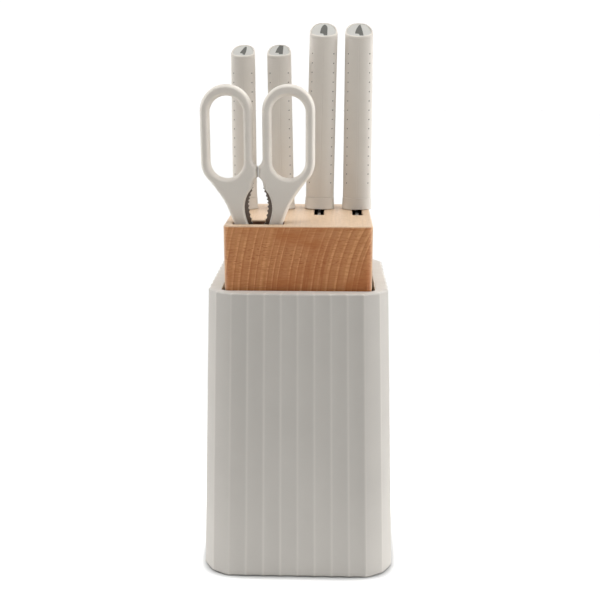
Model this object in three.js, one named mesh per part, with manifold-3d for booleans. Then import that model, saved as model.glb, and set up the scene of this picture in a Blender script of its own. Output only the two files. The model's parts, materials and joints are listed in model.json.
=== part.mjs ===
// Knife block: a fluted plastic housing, a lift-out beech insert, four knives and kitchen scissors.
// Millimetres, +Z up. The origin is the middle of the footprint, on the surface it stands on,
// and the front faces -Y.

import * as THREE from 'three';
import { mergeVertices } from 'three/addons/utils/BufferGeometryUtils.js';
import Module from 'manifold-3d';

const wasm = await Module();
wasm.setup();

// ---------------------------------------------------------------- driving dimensions

const GAP = 0.3; // air left between pieces that touch
const CUT = 1; // how far a cutting solid runs past the face it opens

// Housing
const TOP_HALF = 60; // half the housing's width at the rim
const BASE_HALF = 66.5; // and at its foot
const FLAT_SHARE = 0.722; // share of each side that is straight; the rest is the corner
const CORNER_ANGLE = Math.PI / 6; // the two facets of a corner turn by 30 and 60 degrees
const FLUTES_PER_SIDE = 8;
const FLUTE_DEPTH = 0.6;
const FLUTE_STEPS = 3;
const CORNER_BULGE = 0.33; // the facets of a corner are slightly crowned instead
const SHELL_BOTTOM = 0.4;
const RIM_TOP = 201.6;
const RIM_CHAMFER = 1.2;
const WALL = 3;
const OPENING_HALF = 50.8;
const OPENING_RADIUS = 5;
const SLEEVE_WALL = 2.2;
const LEDGE_WIDTH = 5;
const LEDGE_HEIGHT = 3;

// Base
const PLATE_BOTTOM = 3.2;
const PLATE_HEIGHT = 2.6;
const PLATE_CLEARANCE = 0.5;
const DRAIN_SLOTS = 5;
const DRAIN_PITCH = 16;
const DRAIN_HALF = 24;
const DRAIN_WIDTH = 5;
const FOOT_RADIUS = 8;
const FOOT_PLACE = 36;
const BOSS_PLACE = 50;
const BOSS_RADIUS = 4.5;
const BOSS_HEIGHT = 22;
const SCREW_RADIUS = 1.4;
const SCREW_HEAD_RADIUS = 3.2;
const SCREW_HEAD_HEIGHT = 1.5;
const SCREW_LENGTH = 14;
const SCREW_CLEARANCE = 0.35;

// Wooden insert
const WOOD_HALF = 49;
const WOOD_TOP = 244.3;
const WOOD_HEIGHT = 70;
const WOOD_RADIUS = 4.5;
const WOOD_CHAMFER = 1;

// Knives, in one row along X behind the middle of the insert, spine to the back
const KNIFE_PITCH = 27;
const KNIFE_ROW_X = -0.5; // middle of the row
const KNIFE_FRONT = 19.5; // front of the collars
const SPINE = 9.1; // from the middle of a handle back to the blade's spine
const SLOT_WIDTH = 6.8;
const SLOT_SPARE = 1.2; // room in front of the edge and behind the spine
const HANDLE_WIDEST = 0.45; // how far in front of its middle the section is widest, as a share of half its depth
const FRONT_ROUNDNESS = 2; // exponents of the section's superellipse arcs
const BACK_ROUNDNESS = 2.6;
const HANDLE_POINTS = 28;
const HANDLE_TAPER = 0.965; // narrowing from the collar to the butt
const COLLAR_HEIGHT = 8.4;
const COLLAR_FLARE = 1.05;
const BUTT_SLOPE = THREE.MathUtils.degToRad(22.5);
const CAP_INSET = 1.2;
const CAP_HEIGHT = 1.6;
const CAP_SINK = 0.2; // the cap lies this far under the handle's end
const TANG_HALF = 6.5;
const TANG_LENGTH = 84;
const NECK = 1; // from the shoulder of the blade up to the insert's top
const HEEL = 9; // from the heel of the edge up to the insert's top
const SHORT_HANDLE = { width: 17.4, depth: 20.2, length: 107 };
const LONG_HANDLE = { width: 20.1, depth: 24.6, length: 120.1 };

// Lean: how far the knife tips over in the play of its slot, in degrees towards +X.
// Each blade: length, height at the heel, thickness, where its spine starts to drop and its edge to
// rise (as shares of the length), and how far below the spine its point lies (a share of the height).
const KNIVES = [
  {
    name: 'paring_knife',
    lean: 0,
    handle: SHORT_HANDLE,
    blade: { length: 105, height: 25, thickness: 1.6, drop: 0.62, rise: 0.45, point: 0.3 },
  },
  {
    name: 'utility_knife',
    lean: -0.9,
    handle: SHORT_HANDLE,
    blade: { length: 125, height: 26, thickness: 1.6, drop: 0.88, rise: 0.8, point: 0.12 },
  },
  {
    name: 'santoku_knife',
    lean: 1.1,
    handle: LONG_HANDLE,
    blade: { length: 175, height: 42, thickness: 2, drop: 0.74, rise: 0.62, point: 0.72 },
  },
  {
    name: 'chef_knife',
    lean: 0,
    handle: LONG_HANDLE,
    blade: { length: 200, height: 42.5, thickness: 2, drop: 0.66, rise: 0.4, point: 0.4 },
  },
];

// Scissors, measured from their pivot
const SCISSORS_X = -26.7;
const SCISSORS_Y = -33.9;
const PIVOT_BELOW_TOP = 14.6;
const SCISSORS_SLOT = { width: 33.8, depth: 15.5 };
const GRIP_THICKNESS = 11;
const GRIP_CHAMFER = 0.5;
const LOOP_X = 20.2; // middle of a finger loop, out from the pivot
const LOOP_OUTER = 17.2;
const LOOP_HOLE = 11;
const LOOP_TOP = 87.2; // centres of the loop's upper and lower arcs, up from the pivot
const LOOP_LOW = 54.9;
const STOP_TOP = 51.7;
const STOP_LOW = 44.8;
const GRIP_BOTTOM = 9;
const STEEL = 2.4; // thickness of each steel half
const STEEL_LAYER = -(STEEL + GAP) / 2; // the right half's steel lies in front, the left half's behind
const JAW_TANG = 4; // how far the steel reaches into the grip
const JAW_TOP = 37.6;
const TOOTH_PITCH = 2.6;
const TOOTH_DEPTH = 0.8;
const TOOTH_STEPS = 4;
const PIVOT_DISC = 7.5;
const PIVOT_SHAFT = 2.3;
const PIVOT_CLEARANCE = 0.35;
const PIVOT_HEAD = { radius: 5, height: 1.6 };
const SCISSORS_BLADE = { length: 105, width: 13, tip: 2.5 };

// ---------------------------------------------------------------- materials

function finish(color, roughness, metalness = 0) {
  return new THREE.MeshStandardMaterial({ color, roughness, metalness });
}

const MATERIALS = {
  housing: finish(0xd2cec7, 0.5),
  handle: finish(0xcfc8c0, 0.45),
  cap: finish(0xdcdad3, 0.4),
  wood: finish(0xd9ae86, 0.55),
  steel: finish(0xb9babc, 0.28, 1),
  fastener: finish(0x9b9da0, 0.35, 1),
  base: finish(0x9d9a95, 0.6),
  rubber: finish(0x4a4947, 0.85),
};

// ---------------------------------------------------------------- solids

const AXIS_X = new THREE.Vector3(1, 0, 0);
const AXIS_Y = new THREE.Vector3(0, 1, 0);
const AXIS_Z = new THREE.Vector3(0, 0, 1);
// A shape drawn with its u and v along Y and Z, or along X and Z, and thick along the third axis.
const IN_YZ = new THREE.Matrix4().makeBasis(AXIS_Y, AXIS_Z, AXIS_X);
const IN_XZ = new THREE.Matrix4().makeBasis(AXIS_X, AXIS_Z, AXIS_Y.clone().negate());

function toSolid(geometry) {
  const bare = geometry.clone();
  bare.deleteAttribute('normal');
  bare.deleteAttribute('uv');
  const merged = mergeVertices(bare, 1e-4);
  return new wasm.Manifold(
    new wasm.Mesh({
      numProp: 3,
      vertProperties: new Float32Array(merged.attributes.position.array),
      triVerts: new Uint32Array(merged.index.array),
    }),
  );
}

function toGeometry(solid) {
  const mesh = solid.getMesh();
  const geometry = new THREE.BufferGeometry();
  geometry.setAttribute('position', new THREE.BufferAttribute(mesh.vertProperties, 3));
  geometry.setIndex(new THREE.BufferAttribute(mesh.triVerts, 1));
  return geometry;
}

// A shape made thick from low to high along its normal, with a chamfer inside that height.
function slab(shape, low, high, chamfer = 0, curveSegments = 2) {
  const geometry = new THREE.ExtrudeGeometry(shape, {
    depth: high - low - 2 * chamfer,
    bevelEnabled: chamfer > 0,
    bevelThickness: chamfer,
    bevelSize: chamfer,
    bevelOffset: -chamfer,
    bevelSegments: 1,
    curveSegments,
  });
  return geometry.translate(0, 0, low + chamfer);
}

// The same, centred on the plane it is drawn in and turned into the YZ or XZ plane.
function plate(shape, thickness, plane, chamfer = 0) {
  return slab(shape, -thickness / 2, thickness / 2, chamfer, 5).applyMatrix4(plane);
}

function regularPolygon(x, y, radius, sides) {
  const points = [];
  for (let i = 0; i < sides; i += 1) {
    const angle = (2 * Math.PI * i) / sides;
    points.push(new THREE.Vector2(x + radius * Math.cos(angle), y + radius * Math.sin(angle)));
  }
  return points;
}

function roundHole(x, y, radius) {
  return new THREE.Path(regularPolygon(x, y, radius, 12));
}

// Narrows a geometry evenly with height, from full size at `low` to `ratio` of it at `high`.
function taper(geometry, low, high, ratio) {
  const position = geometry.attributes.position;
  for (let i = 0; i < position.count; i += 1) {
    const share = (position.getZ(i) - low) / (high - low);
    const scale = 1 + (ratio - 1) * share;
    position.setXY(i, position.getX(i) * scale, position.getY(i) * scale);
  }
  return geometry;
}

function cylinder(radius, low, high, sides = 20) {
  const geometry = new THREE.CylinderGeometry(radius, radius, high - low, sides);
  return geometry.rotateX(Math.PI / 2).translate(0, 0, (low + high) / 2);
}

function lathe(profile, sides) {
  const points = profile.map(([radius, height]) => new THREE.Vector2(radius, height));
  return new THREE.LatheGeometry(points, sides).rotateX(Math.PI / 2);
}

function roundedSquare(half, radius) {
  return roundedRectangle(-half, half, -half, half, radius);
}

function roundedRectangle(left, right, front, back, radius) {
  const shape = new THREE.Shape();
  shape.absarc(right - radius, back - radius, radius, 0, Math.PI / 2);
  shape.absarc(left + radius, back - radius, radius, Math.PI / 2, Math.PI);
  shape.absarc(left + radius, front + radius, radius, Math.PI, Math.PI * 1.5);
  shape.absarc(right - radius, front + radius, radius, Math.PI * 1.5, Math.PI * 2);
  return shape;
}

function named(name, geometry, material) {
  const mesh = new THREE.Mesh(geometry, MATERIALS[material]);
  mesh.name = name;
  return mesh;
}

// ---------------------------------------------------------------- housing

// The ridges between the flutes, counter-clockwise, on a housing of this half width.
function ridges(half, flutes) {
  const flat = half * FLAT_SHARE;
  const chord = (half - flat) / (Math.cos(CORNER_ANGLE) + Math.sin(CORNER_ANGLE));
  const side = [];
  for (let i = 0; i <= flutes; i += 1) {
    side.push(new THREE.Vector2(-flat + (2 * flat * i) / flutes, -half));
  }
  const corner = new THREE.Vector2(
    flat + chord * Math.cos(CORNER_ANGLE),
    -half + chord * Math.sin(CORNER_ANGLE),
  );
  side.push(corner);
  const origin = new THREE.Vector2();
  const all = [];
  for (let turn = 0; turn < 4; turn += 1) {
    side.forEach((point) => all.push(point.clone().rotateAround(origin, (turn * Math.PI) / 2)));
  }
  return all;
}

// The same outline with a shallow hollow in each flute and a slight crown on each corner facet.
function flutedOutline(half) {
  const posts = ridges(half, FLUTES_PER_SIDE);
  const points = [];
  posts.forEach((from, i) => {
    const to = posts[(i + 1) % posts.length];
    const along = to.clone().sub(from);
    const inward = new THREE.Vector2(-along.y, along.x).normalize();
    const inFlat = i % (FLUTES_PER_SIDE + 2) < FLUTES_PER_SIDE;
    const hollow = inFlat ? FLUTE_DEPTH : -CORNER_BULGE;
    for (let step = 0; step < FLUTE_STEPS; step += 1) {
      const t = step / FLUTE_STEPS;
      const depth = hollow * 4 * t * (1 - t);
      points.push(from.clone().addScaledVector(along, t).addScaledVector(inward, depth));
    }
  });
  return new THREE.Shape(points);
}

function plainOutline(half) {
  return new THREE.Shape(ridges(half, 1));
}

function cornerBoss() {
  const low = PLATE_BOTTOM + PLATE_HEIGHT + GAP;
  const post = toSolid(cylinder(BOSS_RADIUS, low, low + BOSS_HEIGHT));
  const web = new THREE.BoxGeometry(2 * BOSS_RADIUS, 2, BOSS_HEIGHT);
  web.translate(BOSS_RADIUS, 0, low + BOSS_HEIGHT / 2).rotateZ(Math.PI / 4);
  const hole = toSolid(cylinder(SCREW_RADIUS + SCREW_CLEARANCE, low - CUT, low + SCREW_LENGTH));
  return post.add(toSolid(web)).subtract(hole).translate([BOSS_PLACE, BOSS_PLACE, 0]);
}

function housingShell() {
  const ratio = TOP_HALF / BASE_HALF;
  const outer = slab(flutedOutline(BASE_HALF), SHELL_BOTTOM, RIM_TOP, RIM_CHAMFER);
  const hollow = slab(plainOutline(BASE_HALF - WALL), SHELL_BOTTOM - CUT, RIM_TOP - WALL);
  const opening = slab(roundedSquare(OPENING_HALF, OPENING_RADIUS), RIM_TOP - WALL - CUT, RIM_TOP + CUT);
  let shell = toSolid(taper(outer, SHELL_BOTTOM, RIM_TOP, ratio));
  shell = shell.subtract(toSolid(taper(hollow, SHELL_BOTTOM, RIM_TOP, ratio)));
  shell = shell.subtract(toSolid(opening));

  const sleeveHalf = OPENING_HALF + SLEEVE_WALL;
  const ledgeTop = WOOD_TOP - WOOD_HEIGHT - GAP;
  const sleeve = roundedSquare(sleeveHalf, OPENING_RADIUS + SLEEVE_WALL);
  sleeve.holes.push(roundedSquare(OPENING_HALF, OPENING_RADIUS));
  const ledge = roundedSquare(sleeveHalf, OPENING_RADIUS + SLEEVE_WALL);
  ledge.holes.push(roundedSquare(OPENING_HALF - LEDGE_WIDTH, OPENING_RADIUS));
  shell = shell.add(toSolid(slab(sleeve, ledgeTop - LEDGE_HEIGHT, RIM_TOP - WALL / 2)));
  shell = shell.add(toSolid(slab(ledge, ledgeTop - LEDGE_HEIGHT, ledgeTop)));

  for (let turn = 0; turn < 4; turn += 1) {
    shell = shell.add(cornerBoss().rotate([0, 0, 90 * turn]));
  }
  return named('housing_shell', toGeometry(shell), 'housing');
}

function basePlate() {
  const shape = plainOutline(BASE_HALF - WALL - PLATE_CLEARANCE);
  for (let i = 0; i < DRAIN_SLOTS; i += 1) {
    const x = (i - (DRAIN_SLOTS - 1) / 2) * DRAIN_PITCH;
    const half = DRAIN_WIDTH / 2;
    shape.holes.push(roundedRectangle(x - half, x + half, -DRAIN_HALF, DRAIN_HALF, half - 0.01));
  }
  for (const x of [-BOSS_PLACE, BOSS_PLACE]) {
    for (const y of [-BOSS_PLACE, BOSS_PLACE]) {
      shape.holes.push(roundHole(x, y, SCREW_RADIUS + SCREW_CLEARANCE));
    }
  }
  const solid = toSolid(slab(shape, PLATE_BOTTOM, PLATE_BOTTOM + PLATE_HEIGHT));
  return named('base_plate', toGeometry(solid), 'base');
}

function foot(name, x, y) {
  const top = PLATE_BOTTOM - GAP;
  const profile = [
    [0, 0],
    [FOOT_RADIUS - 1, 0],
    [FOOT_RADIUS, 1],
    [FOOT_RADIUS, top],
    [0, top],
  ];
  const mesh = named(name, lathe(profile, 20), 'rubber');
  mesh.position.set(x, y, 0);
  return mesh;
}

function baseScrew(name, x, y) {
  const head = PLATE_BOTTOM - GAP;
  const profile = [
    [0, head - SCREW_HEAD_HEIGHT],
    [SCREW_HEAD_RADIUS * 0.7, head - SCREW_HEAD_HEIGHT],
    [SCREW_HEAD_RADIUS, head - SCREW_HEAD_HEIGHT * 0.4],
    [SCREW_HEAD_RADIUS, head],
    [SCREW_RADIUS, head],
    [SCREW_RADIUS, head + SCREW_LENGTH - 1.5],
    [0, head + SCREW_LENGTH],
  ];
  const mesh = named(name, lathe(profile, 12), 'fastener');
  mesh.position.set(x, y, 0);
  return mesh;
}

function housing() {
  const group = new THREE.Group();
  group.add(housingShell(), basePlate());
  for (const [side, x] of [['left', -1], ['right', 1]]) {
    for (const [end, y] of [['front', -1], ['back', 1]]) {
      group.add(foot(`foot_${end}_${side}`, x * FOOT_PLACE, y * FOOT_PLACE));
      group.add(baseScrew(`base_screw_${end}_${side}`, x * BOSS_PLACE, y * BOSS_PLACE));
    }
  }
  return group;
}

// ---------------------------------------------------------------- wooden insert

function knifeX(i) {
  return KNIFE_ROW_X + (i - (KNIVES.length - 1) / 2) * KNIFE_PITCH;
}

function knifeY(knife) {
  return KNIFE_FRONT + (knife.handle.depth / 2) * COLLAR_FLARE;
}

function woodBlock() {
  const shape = roundedSquare(WOOD_HALF, WOOD_RADIUS);
  KNIVES.forEach((knife, i) => {
    const x = knifeX(i);
    const spine = knifeY(knife) + SPINE;
    const back = spine + SLOT_SPARE;
    const front = spine - knife.blade.height - SLOT_SPARE;
    const half = SLOT_WIDTH / 2;
    shape.holes.push(roundedRectangle(x - half, x + half, front, back, 1));
  });
  const { width, depth } = SCISSORS_SLOT;
  const left = SCISSORS_X - width / 2;
  const front = SCISSORS_Y - depth / 2;
  shape.holes.push(roundedRectangle(left, left + width, front, front + depth, 1.5));
  const solid = toSolid(slab(shape, WOOD_TOP - WOOD_HEIGHT, WOOD_TOP, WOOD_CHAMFER));
  return named('wood_block', toGeometry(solid), 'wood');
}

// ---------------------------------------------------------------- knives, z = 0 at the insert's top

function handleSection(width, depth) {
  const points = [];
  for (let i = 0; i < HANDLE_POINTS; i += 1) {
    const angle = (2 * Math.PI * (i + 0.5)) / HANDLE_POINTS;
    const c = Math.cos(angle);
    const s = Math.sin(angle);
    const power = 2 / (s < 0 ? FRONT_ROUNDNESS : BACK_ROUNDNESS);
    const reach = (depth / 2) * (1 + Math.sign(s) * HANDLE_WIDEST);
    const x = (width / 2) * Math.sign(c) * Math.abs(c) ** power;
    const y = reach * Math.sign(s) * Math.abs(s) ** power - (depth / 2) * HANDLE_WIDEST;
    points.push(new THREE.Vector2(x, y));
  }
  return new THREE.Shape(points);
}

function handleColumn(handle, inset, low) {
  const section = handleSection(handle.width - 2 * inset, handle.depth - 2 * inset);
  const high = handle.length + handle.depth;
  return toSolid(taper(slab(section, low, high), COLLAR_HEIGHT, handle.length, HANDLE_TAPER));
}

// Everything between two heights above the sloping butt plane, whose front edge is at handle.length.
function buttLayer(handle, low, high) {
  const size = 4 * handle.depth;
  const box = new THREE.BoxGeometry(size, size, high - low);
  box.translate(0, 0, (low + high) / 2).rotateX(BUTT_SLOPE);
  return toSolid(box.translate(0, 0, handle.length + (handle.depth / 2) * Math.tan(BUTT_SLOPE)));
}

function tangHole(knife) {
  const width = knife.blade.thickness + 2 * GAP;
  const box = new THREE.BoxGeometry(width, 2 * (TANG_HALF + GAP), TANG_LENGTH + 2 * GAP + CUT);
  return toSolid(box.translate(0, 0, (TANG_LENGTH - CUT) / 2));
}

function knifeHandle(knife) {
  const above = 2 * knife.handle.depth;
  const solid = handleColumn(knife.handle, 0, COLLAR_HEIGHT + GAP)
    .subtract(buttLayer(knife.handle, 0, above))
    .subtract(handleColumn(knife.handle, CAP_INSET, knife.handle.length / 2).intersect(
      buttLayer(knife.handle, -CAP_SINK - CAP_HEIGHT - GAP, above),
    ))
    .subtract(tangHole(knife));
  return named(`${knife.name}_handle`, toGeometry(solid), 'handle');
}

function knifeEndCap(knife) {
  const solid = handleColumn(knife.handle, CAP_INSET + GAP, knife.handle.length / 2).intersect(
    buttLayer(knife.handle, -CAP_SINK - CAP_HEIGHT, -CAP_SINK),
  );
  return named(`${knife.name}_end_cap`, toGeometry(solid), 'cap');
}

function knifeCollar(knife) {
  const section = handleSection(knife.handle.width, knife.handle.depth);
  const flared = taper(slab(section, GAP, COLLAR_HEIGHT), COLLAR_HEIGHT, 0, COLLAR_FLARE);
  const solid = toSolid(flared).subtract(tangHole(knife));
  return named(`${knife.name}_collar`, toGeometry(solid), 'handle');
}

function bladeOutline({ length, height, drop, rise, point }) {
  const edge = SPINE - height;
  const tip = SPINE - height * point;
  const shape = new THREE.Shape();
  shape.moveTo(TANG_HALF, -NECK);
  shape.lineTo(TANG_HALF, TANG_LENGTH);
  shape.lineTo(-TANG_HALF, TANG_LENGTH);
  shape.lineTo(-TANG_HALF, -NECK);
  shape.quadraticCurveTo(edge + 2, -NECK - 1, edge, -HEEL);
  shape.lineTo(edge, -length * rise);
  shape.quadraticCurveTo(edge, -length * (rise + 1) / 2, tip, -length);
  shape.quadraticCurveTo(SPINE, -length * (drop + 1) / 2, SPINE, -length * drop);
  shape.lineTo(SPINE, -NECK);
  return shape;
}

function knifeBlade(knife) {
  const solid = toSolid(plate(bladeOutline(knife.blade), knife.blade.thickness, IN_YZ));
  return named(`${knife.name}_blade`, toGeometry(solid), 'steel');
}

function knifeInPlace(knife, i) {
  const group = new THREE.Group();
  group.add(knifeBlade(knife), knifeCollar(knife), knifeHandle(knife), knifeEndCap(knife));
  const lean = THREE.MathUtils.degToRad(knife.lean);
  const lift = (knife.handle.width / 2) * Math.abs(Math.sin(lean)); // keeps the collar off the wood
  group.position.set(knifeX(i), knifeY(knife), WOOD_TOP + lift);
  group.rotation.y = lean;
  return group;
}

// ---------------------------------------------------------------- scissors, from their pivot

// How far the nutcracker jaws lie from the middle, at their knots: the plastic's edge, and the line
// through the points of the steel teeth.
const gripJaw = new THREE.SplineCurve([
  new THREE.Vector2(4.4, GRIP_BOTTOM),
  new THREE.Vector2(6.9, 13.8),
  new THREE.Vector2(8.9, 21.3),
  new THREE.Vector2(8.9, 27.2),
  new THREE.Vector2(7.2, 32.8),
  new THREE.Vector2(3.9, JAW_TOP),
]);
const toothedJaw = new THREE.SplineCurve([
  new THREE.Vector2(2, GRIP_BOTTOM),
  new THREE.Vector2(3.9, 14.4),
  new THREE.Vector2(5.5, 20.8),
  new THREE.Vector2(6.1, 27),
  new THREE.Vector2(5.1, 32),
  new THREE.Vector2(3.2, JAW_TOP),
]);

function jawPoints(curve, count, offset = 0, wave = 0) {
  const points = [];
  for (let i = 0; i <= count; i += 1) {
    const point = curve.getPoint(i / count);
    const phase = (i / TOOTH_STEPS) % 1;
    const tooth = wave * Math.sin(Math.PI * phase);
    points.push(new THREE.Vector2(point.x + offset + tooth, point.y));
  }
  return points;
}

// The right-hand grip. The left half of the scissors is the right half turned about the vertical.
function gripOutline() {
  const outer = LOOP_X + LOOP_OUTER;
  const inner = LOOP_X - LOOP_OUTER;
  const shape = new THREE.Shape();
  shape.moveTo(outer, LOOP_TOP);
  shape.absarc(LOOP_X, LOOP_TOP, LOOP_OUTER, 0, Math.PI);
  shape.lineTo(inner, STOP_TOP + 5);
  shape.quadraticCurveTo(inner - 0.2, STOP_TOP + 2, GAP / 2, STOP_TOP);
  shape.lineTo(GAP / 2, STOP_LOW);
  shape.quadraticCurveTo(3.3, STOP_LOW - 2, 3.4, JAW_TOP + 1);
  jawPoints(gripJaw, 18).reverse().forEach((point) => shape.lineTo(point.x, point.y));
  shape.lineTo(14.4, GRIP_BOTTOM);
  shape.quadraticCurveTo(17, 16, 20.9, 25.8);
  shape.quadraticCurveTo(23.5, 31.3, 31.4, 41.5);
  shape.quadraticCurveTo(outer, 46.8, outer, LOOP_LOW);
  return shape;
}

function loopHole() {
  const hole = new THREE.Path();
  hole.absarc(LOOP_X, LOOP_TOP - 1.2, LOOP_HOLE, 0, Math.PI);
  hole.absarc(LOOP_X, LOOP_LOW, LOOP_HOLE, Math.PI, 2 * Math.PI);
  return hole;
}

function jawPocket() {
  const inside = jawPoints(gripJaw, 18, JAW_TANG + GAP);
  const outside = jawPoints(toothedJaw, 18).reverse();
  inside.forEach((point) => point.setY(point.y + (point.y > GRIP_BOTTOM + 1 ? GAP : -CUT)));
  return new THREE.Shape([...inside, ...outside]);
}

function scissorsGrip(name, turn) {
  const outline = gripOutline();
  outline.holes.push(loopHole());
  const cutter = toSolid(plate(jawPocket(), STEEL + 2 * GAP, IN_XZ)).translate([0, STEEL_LAYER, 0]);
  const solid = toSolid(plate(outline, GRIP_THICKNESS, IN_XZ, GRIP_CHAMFER)).subtract(cutter);
  const mesh = named(name, toGeometry(solid), 'handle');
  mesh.rotation.z = turn;
  return mesh;
}

// One steel half, with its serrated jaw to the right and its blade below.
function steelOutline() {
  const teeth = Math.round(toothedJaw.getLength() / TOOTH_PITCH);
  const inside = jawPoints(toothedJaw, teeth * TOOTH_STEPS, 0, TOOTH_DEPTH).reverse();
  const tang = jawPoints(gripJaw, 12, JAW_TANG);
  const shape = new THREE.Shape();
  const { length, width, tip } = SCISSORS_BLADE;
  shape.moveTo(-width / 2, -PIVOT_DISC);
  shape.quadraticCurveTo(-width / 2, -length * 0.6, -tip, -length + tip);
  shape.quadraticCurveTo(-tip / 2, -length, 0, -length);
  shape.lineTo(width / 2 - 1, -PIVOT_DISC);
  shape.absarc(0, 0, PIVOT_DISC, -Math.PI / 4, Math.PI / 6);
  [...tang, ...inside].forEach((point) => shape.lineTo(point.x, point.y));
  shape.absarc(0, 0, PIVOT_DISC, Math.PI / 2, Math.PI * 1.25);
  shape.holes.push(roundHole(0, 0, PIVOT_SHAFT + PIVOT_CLEARANCE));
  return shape;
}

function scissorsSteel(name, turn) {
  const solid = toSolid(plate(steelOutline(), STEEL, IN_XZ)).translate([0, STEEL_LAYER, 0]);
  const mesh = named(name, toGeometry(solid), 'steel');
  mesh.rotation.z = turn;
  return mesh;
}

// The pivot pin's axis runs along Y. The head is in front, the nut behind.
function pivotScrew() {
  const face = STEEL + 1.5 * GAP;
  const { radius, height } = PIVOT_HEAD;
  const profile = [
    [0, -face - height],
    [radius * 0.8, -face - height],
    [radius, -face - height * 0.5],
    [radius, -face],
    [PIVOT_SHAFT, -face],
    [PIVOT_SHAFT, face + height],
    [0, face + height],
  ];
  return named('scissors_pivot_screw', lathe(profile, 16).rotateX(-Math.PI / 2), 'fastener');
}

function pivotNut() {
  const face = STEEL + 1.5 * GAP;
  const hexagon = new THREE.Shape(regularPolygon(0, 0, PIVOT_HEAD.radius, 6));
  hexagon.holes.push(roundHole(0, 0, PIVOT_SHAFT + PIVOT_CLEARANCE));
  const mesh = named('scissors_pivot_nut', plate(hexagon, PIVOT_HEAD.height, IN_XZ), 'fastener');
  mesh.position.y = face + PIVOT_HEAD.height / 2;
  return mesh;
}

function scissors() {
  const group = new THREE.Group();
  for (const [side, turn] of [['right', 0], ['left', Math.PI]]) {
    group.add(scissorsSteel(`scissors_blade_${side}`, turn), scissorsGrip(`scissors_grip_${side}`, turn));
  }
  group.add(pivotScrew(), pivotNut());
  group.position.set(SCISSORS_X, SCISSORS_Y, WOOD_TOP - PIVOT_BELOW_TOP);
  return group;
}

// ---------------------------------------------------------------- the object

const knifeBlock = new THREE.Group();
knifeBlock.add(housing(), woodBlock(), scissors());
KNIVES.forEach((knife, i) => knifeBlock.add(knifeInPlace(knife, i)));

export default knifeBlock;
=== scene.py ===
import json
import math

import bmesh
import bpy
import numpy as np
from mathutils import Matrix, Vector
from mathutils.geometry import delaunay_2d_cdt, tessellate_polygon


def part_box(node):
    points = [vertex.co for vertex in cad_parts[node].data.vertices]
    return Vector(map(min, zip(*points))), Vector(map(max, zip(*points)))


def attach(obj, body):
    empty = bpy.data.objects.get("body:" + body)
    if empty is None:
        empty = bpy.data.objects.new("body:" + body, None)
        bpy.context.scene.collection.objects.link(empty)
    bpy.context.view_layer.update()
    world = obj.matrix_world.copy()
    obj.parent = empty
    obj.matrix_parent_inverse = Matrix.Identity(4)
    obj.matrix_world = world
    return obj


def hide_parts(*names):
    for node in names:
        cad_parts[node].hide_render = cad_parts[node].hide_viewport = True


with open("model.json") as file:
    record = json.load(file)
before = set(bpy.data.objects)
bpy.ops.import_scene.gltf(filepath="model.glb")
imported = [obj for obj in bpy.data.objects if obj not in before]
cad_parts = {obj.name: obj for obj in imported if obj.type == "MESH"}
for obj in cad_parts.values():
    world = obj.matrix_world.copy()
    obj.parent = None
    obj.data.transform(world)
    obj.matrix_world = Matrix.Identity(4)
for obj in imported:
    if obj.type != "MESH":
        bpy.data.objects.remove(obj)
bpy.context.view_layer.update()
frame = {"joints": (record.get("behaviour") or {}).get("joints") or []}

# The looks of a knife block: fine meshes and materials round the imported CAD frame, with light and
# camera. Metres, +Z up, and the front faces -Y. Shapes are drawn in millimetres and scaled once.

MM = 0.001
TURN = 2 * math.pi
SQUARE = ((-1, -1), (1, -1), (1, 1), (-1, 1))

# --- driving dimensions, millimetres

# Housing
TOP_HALF = 60.0  # half its width at the rim
FLAT_SHARE = 0.722  # share of each side that is straight; the rest is the corner
CORNER_ANGLE = math.radians(30)
FLUTES_PER_SIDE = 8
FLUTE_DEPTH = 0.6
CORNER_BULGE = 0.33  # the facets of a corner are slightly crowned instead
FLUTE_SAMPLES = 14
FACET_SAMPLES = 24
RIDGE_RADIUS = 1.3
RIDGE_STEPS = 5
RIM_ROUND = 1.2
WALL = 3.0
OPENING_HALF = 50.8
OPENING_RADIUS = 5.0
OPENING_ROUND = 0.7
SLEEVE_WALL = 2.2
LEDGE_WIDTH = 5.0
LEDGE_HEIGHT = 3.0
LEDGE_ROUND = 0.4
INSERT_GAP = 0.3

# Base
BOSS_PLACE = 50.0
BOSS_RADIUS = 4.5
BOSS_HEIGHT = 22.0
BOSS_ROUND = 0.5
BOSS_PLACES = [(x, y) for x in (-BOSS_PLACE, BOSS_PLACE) for y in (-BOSS_PLACE, BOSS_PLACE)]
SCREW_RADIUS = 1.4
SCREW_HEAD_RADIUS = 3.2
SCREW_HEAD_DOME = 0.9
SCREW_HEAD_HEIGHT = 1.5
SCREW_HOLE = 1.75
SCREW_HOLE_DEPTH = 13.0
CROSS_RECESS = (3.6, 0.8, 1.6)  # one arm's length, width and height
THREAD_START = 1.7
THREAD_TURNS = 9
FOOT_ROUND = 0.9
FOOT_HOLLOW_RADIUS = 3.2
FOOT_HOLLOW_DEPTH = 0.25
PLATE_ROUND = 0.4
DRAIN_SLOTS = 5
DRAIN_PITCH = 16.0
DRAIN_HALF = 24.0
DRAIN_WIDTH = 5.0

# Wooden insert
WOOD_RADIUS = 4.5
WOOD_ROUND = 1.1
SLOT_WIDTH = 6.8
SLOT_SPARE = 1.2
SLOT_RADIUS = 1.0
SCISSORS_SLOT = (33.8, 15.5)
SCISSORS_SLOT_RADIUS = 1.5

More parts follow.
